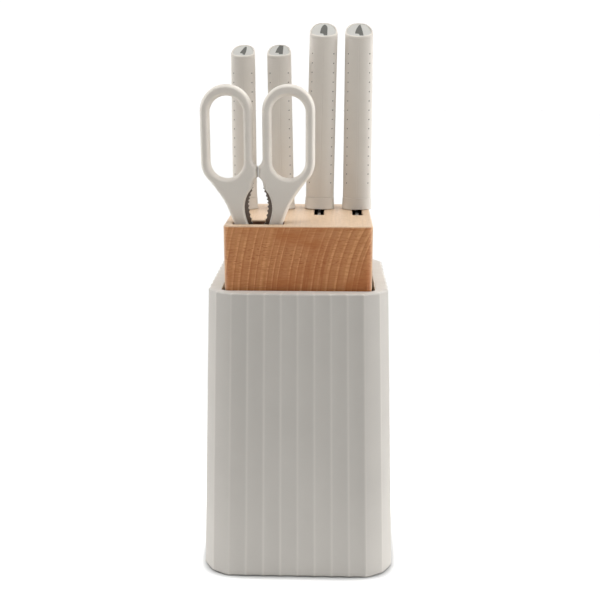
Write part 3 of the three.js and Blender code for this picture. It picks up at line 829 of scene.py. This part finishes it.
def wood_block():
    low, high = box_mm("wood_block")
    pivot_x, pivot_y = (v / MM for v in joint("scissors_right_open")["pos_m"][:2])

    def knife_slot(name, knife, inset):
        origin = knife_frame(name, knife).translation
        half = SLOT_WIDTH / 2 + inset
        back = origin.y + SPINE + SLOT_SPARE + inset
        front = origin.y + SPINE - knife["blade"]["height"] - SLOT_SPARE - inset
        return rounded_rectangle(origin.x - half, origin.x + half, front, back, SLOT_RADIUS + inset)

    def loops(inset):
        half_x, half_y = (size / 2 + inset for size in SCISSORS_SLOT)
        sides = (low.x + inset, high.x - inset, low.y + inset, high.y - inset)
        result = [rounded_rectangle(*sides, WOOD_RADIUS - inset, 12)]
        result += [knife_slot(name, knife, inset) for name, knife in KNIVES.items()]
        sides = (pivot_x - half_x, pivot_x + half_x, pivot_y - half_y, pivot_y + half_y)
        return [*result, rounded_rectangle(*sides, SCISSORS_SLOT_RADIUS + inset)]

    shape = pierced_slab(loops, low.z, high.z, WOOD_ROUND)
    piece("wood_insert", shape, "insert", "beech", ["wood_block"])


# --- knives


def joint(name):
    return next(j for j in frame["joints"] if j["name"] == name)


def knife_frame(name, knife):
    """Where the knife stands: its handle's axis up Z, leaning as its joint does, from the insert's top."""
    axis = joint(f"{name}_draw")["axis"]
    lean = math.atan2(axis[0], axis[2])
    place = seat(f"{name}_collar")
    place[2][3] = box_mm("wood_block")[1].z + knife["handle"]["width"] / 2 * abs(math.sin(lean))
    return place @ Matrix.Rotation(lean, 4, "Y")


def section(handle, angle, z, inset=0.0):
    """A point of the handle's section, shallow in front and deep behind, which narrows towards the butt."""
    scale = 1 + (TAPER - 1) * (z - COLLAR_HEIGHT) / (handle["length"] - COLLAR_HEIGHT)
    c, s = math.cos(angle), math.sin(angle)
    power = 2 / (FRONT_ROUNDNESS if s < 0 else BACK_ROUNDNESS)
    half_width, half_depth = handle["width"] / 2 * scale - inset, handle["depth"] / 2 * scale - inset
    reach = half_depth * (1 + math.copysign(WIDEST, s))
    x = half_width * math.copysign(abs(c) ** power, c)
    return x, reach * math.copysign(abs(s) ** power, s) - half_depth * WIDEST


def butt(handle, y):
    """Height of the sloping butt plane, whose front edge is at the handle's length."""
    return handle["length"] + (y + handle["depth"] / 2) * BUTT_SLOPE


def around(width):
    """Angles round the section: even ones, and close ones at each dimple and at the two parting lines."""
    angles = {round(TURN * i / 72 - math.pi, 5) for i in range(72)}
    fine = [width * k for k in DIMPLE_STEPS]
    for centre in DIMPLE_ANGLES + [math.pi / 2, -math.pi / 2]:
        near = {a for a in angles if abs(math.remainder(a - centre, TURN)) < 1.6 * width}
        angles -= near
        angles |= {round(math.remainder(centre + f, TURN), 5) for f in fine}
    return sorted(angles)


def dimple(handle, rows, angle, z):
    """How deep the surface lies here, and how much painted shade darkens it inside a dimple, from 0 to 1."""
    reach = DIMPLE_RADIUS / (handle["width"] / 2)
    across = min(abs(math.remainder(angle - column, TURN)) for column in DIMPLE_ANGLES) / reach
    along = min(abs(z - row) for row in rows) / DIMPLE_RADIUS
    distance = math.hypot(across, along)
    if distance >= 1:
        return 0.0, 0.0
    return DIMPLE_DEPTH * (1 - distance**2), 1.0 if distance < 0.7 else 0.5


def butt_rings(handle, angles):
    """The rings that turn from level to the butt's slope, with a fine groove, the rim and the cap's seat."""
    base, rings = handle["length"] - BUTT_REACH, []

    def sloped(inset, rise, share=1.0):
        points = [section(handle, a, handle["length"], inset) for a in angles]
        rings.append([(x, y, base + (butt(handle, y) + rise - base) * share) for x, y in points])

    for share in (0.3, 0.6, 0.8):
        sloped(0, -GROOVE_DROP, share)
    for inset, rise in ((0, -1 / 2), (GROOVE_DEPTH, -1 / 6), (GROOVE_DEPTH, 1 / 6), (0, 1 / 2)):
        sloped(inset, rise * GROOVE_WIDTH - GROOVE_DROP)
    for inset, drop in reversed(quarter(BUTT_ROUND, 6)):
        sloped(inset, -drop)
    for back, drop in quarter(CAP_SINK, 2):
        sloped(RIM_WIDTH - back, -drop)
    sloped(RIM_WIDTH, -CAP_SINK - CAP_HEIGHT - SEAM_GAP)
    return rings


def handle_shell(name, knife):
    handle = knife["handle"]
    angles = around(DIMPLE_RADIUS / (handle["width"] / 2))
    rows = [handle["length"] - FIRST_DIMPLE - DIMPLE_PITCH * i for i in range(handle["dimples"])]
    foot_z = COLLAR_HEIGHT + SEAM_GAP
    rings, painted_light_shares = [], []
    for inset, rise in quarter(SEAM_ROUND, 3):
        rings.append([(*section(handle, a, foot_z, inset), foot_z + rise) for a in angles])
        painted_light_shares += [0.0] * len(angles)
    heights = [row + DIMPLE_RADIUS * k for row in reversed(rows) for k in DIMPLE_STEPS]
    for z in [foot_z + 2, *heights, handle["length"] - BUTT_REACH]:
        ring = []
        for a in angles:
            x, y = section(handle, a, z)
            # points inside a dimple get painted shade
            depth, painted_light = dimple(handle, rows, a, z)
            if abs(x) < PARTING_WIDTH:
                depth = PARTING_DEPTH
            outward = Vector((x / handle["width"], y / handle["depth"])).normalized()
            ring.append((x - outward.x * depth, y - outward.y * depth, z))
            painted_light_shares.append(painted_light)
        rings.append(ring)
    top = butt_rings(handle, angles)
    painted_light_shares += [0.0] * len(angles) * len(top)
    shape = placed(loft(rings + top), knife_frame(name, knife))
    piece(f"{name}_grip", shape, name, "handle_plastic", [f"{name}_handle"], painted_light_shares)


def collar(name, knife):
    """The flared foot of a handle, a little proud of it so that its bevelled top shows as a fine ring."""
    handle = knife["handle"]

    def ring(z, inset):
        flare = 1 + (COLLAR_FLARE - 1) * ((COLLAR_HEIGHT - z) / COLLAR_HEIGHT) ** 1.6
        points = [section(handle, a, COLLAR_HEIGHT, inset - COLLAR_PROUD) for a in full_turn(SECTION_SIDES)]
        return [(x * flare, y * flare, z) for x, y in points]

    rings = [ring(REST_GAP + rise, inset) for inset, rise in quarter(0.5, 4)]
    rings += [ring(z, 0) for z in (2, 3.5, 5, 6.5)]
    rings += [ring(COLLAR_HEIGHT - drop, inset) for inset, drop in reversed(quarter(COLLAR_BEVEL, 3))]
    shape = placed(loft(rings), knife_frame(name, knife))
    piece(f"{name}_bolster", shape, name, "handle_plastic", [f"{name}_collar"], [0.0] * len(shape[0]))


def end_cap(name, knife):
    handle = knife["handle"]

    def ring(inset, sink):
        edge = RIM_WIDTH + SEAM_GAP + inset
        points = [section(handle, a, handle["length"], edge) for a in full_turn(SECTION_SIDES)]
        return [(x, y, butt(handle, y) - sink) for x, y in points]

    rings = [ring(0, CAP_SINK + CAP_HEIGHT)]
    rings += [ring(back, CAP_SINK + drop) for back, drop in reversed(quarter(0.3, 4))]
    shape = placed(loft(rings), knife_frame(name, knife))
    piece(f"{name}_butt_cap", shape, name, "cap_plastic", [f"{name}_end_cap"])


def icon_outline(tip):
    """A plain upright blade, one wide and one high, with the step of its heel at the lower left."""
    shapes = {
        "small": path((0.36, 0), ((0.54, 0.5), (0.47, 0.8)), ((0.4, 1.06), (0.2, 0.97)),
                      ((-0.15, 0.75), (-0.5, 0.24))),
        "blunt": [(0.5, 0), (0.5, 1), *path((-0.04, 1), ((-0.33, 0.7), (-0.5, 0.2)))],
        "round": [(0.5, 0), *path((0.5, 0.7), ((0.44, 0.97), (0.04, 1)), ((-0.42, 0.86), (-0.5, 0.2)))],
        "pointed": path((0.5, 0), ((0.42, 0.5), (0.19, 1)), ((-0.32, 0.74), (-0.5, 0.2))),
    }
    return [*shapes[tip], (-0.46, 0.17), (-0.08, 0.16), (0.03, 0)]


def icon(name, knife):
    handle, look = knife["handle"], knife["icon"]
    front = RIM_WIDTH + look["front"] - handle["depth"] * TAPER / 2
    outline = [(look["width"] * u, front + look["length"] * v) for u, v in icon_outline(look["tip"])]
    rings = [[(x, y, butt(handle, y) - CAP_SINK + lift) for x, y in outline] for lift in (-0.1, 0.04)]
    shape = placed(loft(rings), knife_frame(name, knife))
    piece(f"{name}_pictogram", shape, name, "cap_plastic", look="printed_ink")


def blade_edges(blade, z):
    """(front, back) of the blade at a height below the insert's top."""
    height, length = blade["height"], blade["length"]
    edge, tip = SPINE - height, SPINE - height * blade["point"]
    front = max(0.0, (-z - length * blade["rise"]) / (length * (1 - blade["rise"])))
    back = max(0.0, (-z - length * blade["drop"]) / (length * (1 - blade["drop"])))
    return edge + (tip - edge) * front ** 2, SPINE + (tip - SPINE) * back ** 2


def blade_section(front, back, thickness, z, ground):
    """A closed section from the edge round to the spine. A ground one is flat, with a fine second bevel."""
    depth = back - front
    if ground:
        shares = [(0.0, 0.04), (min(1.0, depth * 0.3), 0.2)]
        shares += [(depth * 0.3, 0.5), (depth * 0.6, 0.82), (depth * 0.85, 0.98)]
    else:
        shares = [(0.0, 0.82), (SPINE_EASE, 1.0)]
        shares += [(depth * share, 1.0) for share in (0.3, 0.6, 0.85)]
    shares += [(depth - SPINE_EASE, 1.0), (depth, 0.82)]
    one_side = [(thickness / 2 * share, front + y, z) for y, share in shares]
    return one_side + [(-x, y, z) for x, y, _ in reversed(one_side)]


def blade(name, knife):
    spec = knife["blade"]
    length, thickness = spec["length"], spec["thickness"]
    edge = SPINE - spec["height"]
    plain = [(-TANG_HALF, TANG_HALF, z) for z in (TANG_LENGTH, 40, 0, -NECK + 0.02)]
    plain.append((-TANG_HALF, SPINE, -NECK))
    heel = bezier((-TANG_HALF, -NECK), (edge + 2, -NECK - 1), (edge, -HEEL))
    plain += [(front, SPINE, z) for front, z in heel]
    rings = [blade_section(front, back, thickness, z, False) for front, back, z in plain]
    for i in range(1, BLADE_STEPS + 1):
        z = -HEEL - (length - HEEL - 0.06) * math.sin(math.pi / 2 * i / BLADE_STEPS)
        front, back = blade_edges(spec, z)
        rings.append(blade_section(front, max(back, front + 0.25), thickness, z, True))
    shape = placed(loft(rings), knife_frame(name, knife))
    piece(f"{name}_steel", shape, name, "blade_steel", [f"{name}_blade"], sharp=12)


# --- scissors


def jaw_point(knots, share):
    """A point of the smooth curve through the knots."""
    knots = [np.array(k, float) for k in knots]
    place = share * (len(knots) - 1)
    i = min(int(place), len(knots) - 2)
    t = place - i
    before, here, there = knots[max(i - 1, 0)], knots[i], knots[i + 1]
    after = knots[min(i + 2, len(knots) - 1)]
    v0, v1 = (there - before) / 2, (after - here) / 2
    cubed, squared = 2 * here - 2 * there + v0 + v1, 3 * there - 3 * here - 2 * v0 - v1
    return cubed * t**3 + squared * t**2 + v0 * t + here


def jaw_line(knots, count, offset=0.0, wave=0.0, teeth=1):
    """Points along the curve through the knots, moved to the right, with a row of teeth if it has a wave."""
    points = []
    for i in range(count + 1):
        x, z = jaw_point(knots, i / count)
        points.append((x + offset + wave * abs(math.sin(math.pi * teeth * i / count)), z))
    return points


def grip_loops():
    """The right grip's outer edge, counter-clockwise, the part of it beside the jaw, and its finger hole."""
    outer, inner = LOOP_X + LOOP_OUTER, LOOP_X - LOOP_OUTER
    gap = INSERT_GAP / 2
    jaw = jaw_line(GRIP_JAW, 28)[::-1]
    loop = [*arc(LOOP_X, LOOP_TOP, LOOP_OUTER, 0, math.pi, 48)]
    loop += path((inner, STOP_TOP + 5), ((inner - 0.2, STOP_TOP + 2), (gap, STOP_TOP)))
    loop += path((gap, STOP_LOW), ((3.3, STOP_LOW - 2), (3.4, JAW_TOP + 1)))
    loop += jaw
    loop += path(*GRIP_FLANK, ((outer, 46.8), (outer, LOOP_LOW)))
    hole = [*arc(LOOP_X, LOOP_TOP - 1.2, LOOP_HOLE, 0, math.pi, 40)]
    hole += arc(LOOP_X, LOOP_LOW, LOOP_HOLE, math.pi, TURN, 40)
    return loop, jaw, hole


def distances(points, lines):
    """How far each point lies from the nearest of the line segments (start, end)."""
    nearest = np.full(len(points), 1e9)
    for start, end in lines:
        along = end - start
        t = np.clip((points - start) @ along / max(along @ along, 1e-12), 0, 1)
        nearest = np.minimum(nearest, np.linalg.norm(points - start - t[:, None] * along, axis=1))
    return nearest


def inside(points, loops):
    """True for the points that lie in an odd number of the loops."""
    odd = np.zeros(len(points), bool)
    for loop in loops:
        for (ax, ay), (bx, by) in zip(loop, np.roll(loop, -1, 0)):
            if ay != by:
                spans = (ay > points[:, 1]) != (by > points[:, 1])
                odd ^= spans & (points[:, 0] < (bx - ax) * (points[:, 1] - ay) / (by - ay) + ax)
    return odd


def swell(distance, radius, thickness):
    reach = np.clip(distance / radius, 0, 1)
    return thickness * np.sqrt(1 - (1 - reach) ** 2)


def plate_points(loops, segments):
    """Points between the loops: rows that follow their edges, and an even grid further in."""
    rows = []
    for loop, turn in zip(loops, (1, -1)):
        for depth in EDGE_DEPTHS:
            moved = loop + turn * inward_normals(loop.tolist()) * depth
            rows.append(moved[distances(moved, segments) > 0.96 * depth])
    across = np.arange(0, LOOP_X + LOOP_OUTER, GRIP_MESH)
    up = np.arange(GRIP_BOTTOM, LOOP_TOP + LOOP_OUTER, GRIP_MESH)
    grid = np.stack(np.meshgrid(across, up), -1).reshape(-1, 2)
    rows.append(grid[distances(grid, segments) > EDGE_DEPTHS[-1] + 0.5])
    extra = np.concatenate(rows)
    return extra[inside(extra, loops)]


def cushioned_plate(loop, jaw, hole):
    """The grip as a solid in the XZ plane whose faces swell away from its edges."""
    loops = [np.array(evenly(edge, 0.9)) for edge in (loop, hole)]
    segments = [(a, b) for edge in loops for a, b in zip(edge, np.roll(edge, -1, 0))]
    jaw_points = np.array(jaw)
    jaw_segments = list(zip(jaw_points[:-1], jaw_points[1:]))
    free = [s for s in segments if distances(np.array([(s[0] + s[1]) / 2]), jaw_segments)[0] > 0.02]
    edges, start = [], 0
    for edge in loops:
        edges += [(start + i, start + (i + 1) % len(edge)) for i in range(len(edge))]
        start += len(edge)
    everything = np.concatenate([*loops, plate_points(loops, segments)])
    points, _, triangles, *_ = delaunay_2d_cdt([Vector(p) for p in everything], edges, [], 0, 1e-5)
    flat = np.array([tuple(p) for p in points])
    middles = np.array([flat[list(t)].mean(0) for t in triangles])
    kept = [t for t, is_in in zip(triangles, inside(middles, loops)) if is_in]
    height = np.minimum(swell(distances(flat, free), GRIP_ROUND, GRIP_HALF),
                        swell(distances(flat, jaw_segments), JAW_ROUND, GRIP_HALF))
    solid = [(x, side * h, z) for side in (-1, 1) for (x, z), h in zip(flat, height)]
    return solid, kept + [tuple(len(flat) + i for i in reversed(t)) for t in kept]


def steel_outline():
    """The right half's steel, clockwise, and how wide a bevel each point's edge gets."""
    length, half, tip = SHEAR["length"], SHEAR["width"] / 2, SHEAR["tip"]
    smooth = np.array(jaw_line(TOOTHED_JAW, 200))
    teeth = round(np.linalg.norm(np.diff(smooth, axis=0), axis=1).sum() / TOOTH_PITCH)
    reach = half - 1
    cutting = [reach * i / 24 for i in range(1, 24)]
    shoulder, point = (-half, -PIVOT_DISC), (-tip, tip - length)
    back = [shoulder, *bezier(shoulder, (-half, -length * 0.6), point, 24)]
    back += bezier(point, (-tip / 2, -length), (0, -length), 6)
    rows = [(p, BEVEL_WIDTH) for p in back]
    for x in cutting:
        place = (x, (length - PIVOT_DISC) * x / reach - length)
        rows.append((place, min(GRIND_WIDTH, BEVEL_WIDTH + x * 1.5)))
    front = [(reach, -PIVOT_DISC), *arc(0, 0, PIVOT_DISC, -math.pi / 4, math.pi / 6, 12)]
    rows += [(p, BEVEL_WIDTH) for p in front + jaw_line(GRIP_JAW, 18, JAW_TANG)]
    rows += [(p, 0.15) for p in reversed(jaw_line(TOOTHED_JAW, teeth * 8, 0, TOOTH_DEPTH, teeth))]
    rows += [(p, BEVEL_WIDTH) for p in arc(0, 0, PIVOT_DISC, math.pi / 2, math.pi * 1.25, 24)]
    return [p for p, _ in rows], np.array([w for _, w in rows])


def shear_steel():
    """One steel half, lying in the XZ plane, with its outer face towards -Y."""
    outline, widths = steel_outline()
    normals = inward_normals(outline)
    front, back = STEEL_LAYER - STEEL / 2, STEEL_LAYER + STEEL / 2
    drops = 0.2 + 0.7 * (widths > 1)

    def ring(loop, depths):
        return [(x, y, z) for (x, z), y in zip(loop, np.broadcast_to(depths, len(loop)))]

    ground = np.array(outline) + normals * widths[:, None]
    edge = [ring(outline, back), ring(outline, front + drops * 2), ring(ground, front)]
    hole, wide_hole = (circle(0, 0, PIVOT_SHAFT + spare) for spare in (0.35, 0.5))
    shaft = [ring(hole, back), ring(hole, front + 0.4), ring(wide_hole, front)]
    return pierced([edge, shaft], flat=lambda p: Vector((p.x, p.z, 0)))


def scissors():
    pivot = Matrix.Translation(Vector(joint("scissors_right_open")["pos_m"]) / MM)
    grip = cushioned_plate(*grip_loops())
    steel = shear_steel()
    for side, turn in (("right", 0.0), ("left", math.pi)):
        place = pivot @ Matrix.Rotation(turn, 4, "Z")
        body = f"scissors_{side}"
        node = f"scissors_grip_{side}"
        piece(f"{body}_handle", placed(grip, place), body, "grip_plastic", [node], sharp=60)
        node = f"scissors_blade_{side}"
        piece(f"{body}_steel", placed(steel, place), body, "jaw_steel", [node], sharp=18)
    pivot_screw(pivot)
    pivot_nut()


def pivot_screw(pivot):
    radius, height = PIVOT_HEAD
    face = STEEL + 1.5 * INSERT_GAP
    end = 2 * face + 2 * height
    profile = domed(radius, height * 0.6)
    profile += [(radius, height), (PIVOT_SHAFT, height), (PIVOT_SHAFT, end), (0, end)]
    screw = carved(lathe(profile), placed(bar(*PIVOT_SLOT), Matrix.Rotation(0.7, 4, "Z")))
    lay = pivot @ Matrix.Translation((0, -face - height, 0)) @ Matrix.Rotation(-math.pi / 2, 4, "X")
    shape = placed(screw, lay)
    piece("pivot_screw", shape, "scissors_pivot", "fastener_steel", ["scissors_pivot_screw"], sharp=30)


def pivot_nut():
    low, high = box_mm("scissors_pivot_nut")
    across = (high.x - low.x) / 2
    hexagon = circle(0, 0, across, 6)

    def loops(inset):
        shrink = 1 - inset / across
        outline = evenly([(x * shrink, y * shrink) for x, y in hexagon], 1)
        return [outline, circle(0, 0, PIVOT_SHAFT + 0.1 + inset)]

    nut = pierced_slab(loops, 0, high.y - low.y, NUT_ROUND)
    centre = Matrix.Translation(((low.x + high.x) / 2, low.y, (low.z + high.z) / 2))
    shape = placed(nut, centre @ Matrix.Rotation(-math.pi / 2, 4, "X"))
    piece("pivot_nut", shape, "scissors_pivot", "fastener_steel", ["scissors_pivot_nut"], sharp=30)


# --- studio


def studio_floor():
    """A pale floor that glows weakly round the object and that the camera sees nearly white. Both stop just
    round the object's foot, which paints a dark contact shadow there.
    """
    mesh = bpy.data.meshes.new("studio_floor")
    mesh.from_pydata([(x * FLOOR_REACH, y * FLOOR_REACH, 0) for x, y in SQUARE], [], [(0, 1, 2, 3)])
    look = Look("studio_floor", (0.5, 0.5, 0.497), 0.8, Specular_IOR_Level=0.1)
    look.shade("Base Color", look.mix(look.noise(3, 2), (0.49, 0.49, 0.487), (0.51, 0.51, 0.507)))
    look.shade("Emission Color", (1, 1, 1, 1))
    x, y, _ = look.split(look.place)
    powers = (look.math("POWER", look.math("ABSOLUTE", value), 6) for value in (x, y))
    away = look.math("POWER", look.plus(*powers), 1 / 6)
    seen = look.times(look.add("LightPath", "Is Camera Ray", {}), FLOOR_WHITE)
    lit = look.plus(look.span(away, *FLOOR_GLOW), seen)
    # the glow and white fade to nothing at the object's foot: a painted contact shadow
    look.shade("Emission Strength", look.times(lit, look.span(away, *FLOOR_CONTACT_SHADOW)))
    mesh.materials.append(MATERIALS["studio_floor"])
    floor = bpy.data.objects.new("studio_floor", mesh)
    bpy.context.scene.collection.objects.link(floor)


def surround():
    """The light of a studio: bright behind, beside and above the object, and dark on the camera's side."""
    world = bpy.data.worlds.new("surround")
    world.use_nodes = True
    wiring = Wiring(world.node_tree)
    x, y, z = wiring.split(wiring.add("TexCoord", "Generated", {}))
    parts = ((y, BACK_WALL), (z, CEILING), (x, RIGHT_PANEL), (x, LEFT_PANEL))
    light, *others = [wiring.span(value, *part, steps="SMOOTHSTEP") for value, part in parts]
    for part in others:
        light = wiring.plus(light, part)
    limited = wiring.math("MINIMUM", light, MIRRORED_LIMIT)
    mirrored = wiring.between(wiring.add("LightPath", "Is Glossy Ray", {}), light, limited)
    shown = wiring.between(wiring.add("LightPath", "Is Camera Ray", {}), mirrored, SHOWN_WHITE)
    background = wiring.nodes["Background"].inputs
    wiring.put(background["Color"], (1, 1, 1, 1))
    wiring.put(background["Strength"], shown)
    bpy.context.scene.world = world


def camera():
    data = bpy.data.cameras.new("camera")
    data.sensor_width, data.lens = CAMERA_SENSOR, CAMERA_LENS
    data.clip_start, data.clip_end = 0.05, 30
    view = bpy.data.objects.new("camera", data)
    view.location = CAMERA_PLACE
    view.rotation_mode = "QUATERNION"
    view.rotation_quaternion = Vector(CAMERA_DIRECTION).normalized().to_track_quat("-Z", "Y")
    bpy.context.scene.collection.objects.link(view)
    bpy.context.scene.camera = view


def studio():
    studio_floor()
    surround()
    bpy.context.scene.view_settings.view_transform = "Standard"
    camera()


# --- building it

housing_shell()
base_plate()
for corner in ("front_left", "front_right", "back_left", "back_right"):
    foot(corner)
    base_screw(corner)
wood_block()
for knife_name, knife_spec in KNIVES.items():
    for build in (handle_shell, collar, end_cap, icon, blade):
        build(knife_name, knife_spec)
scissors()
studio()
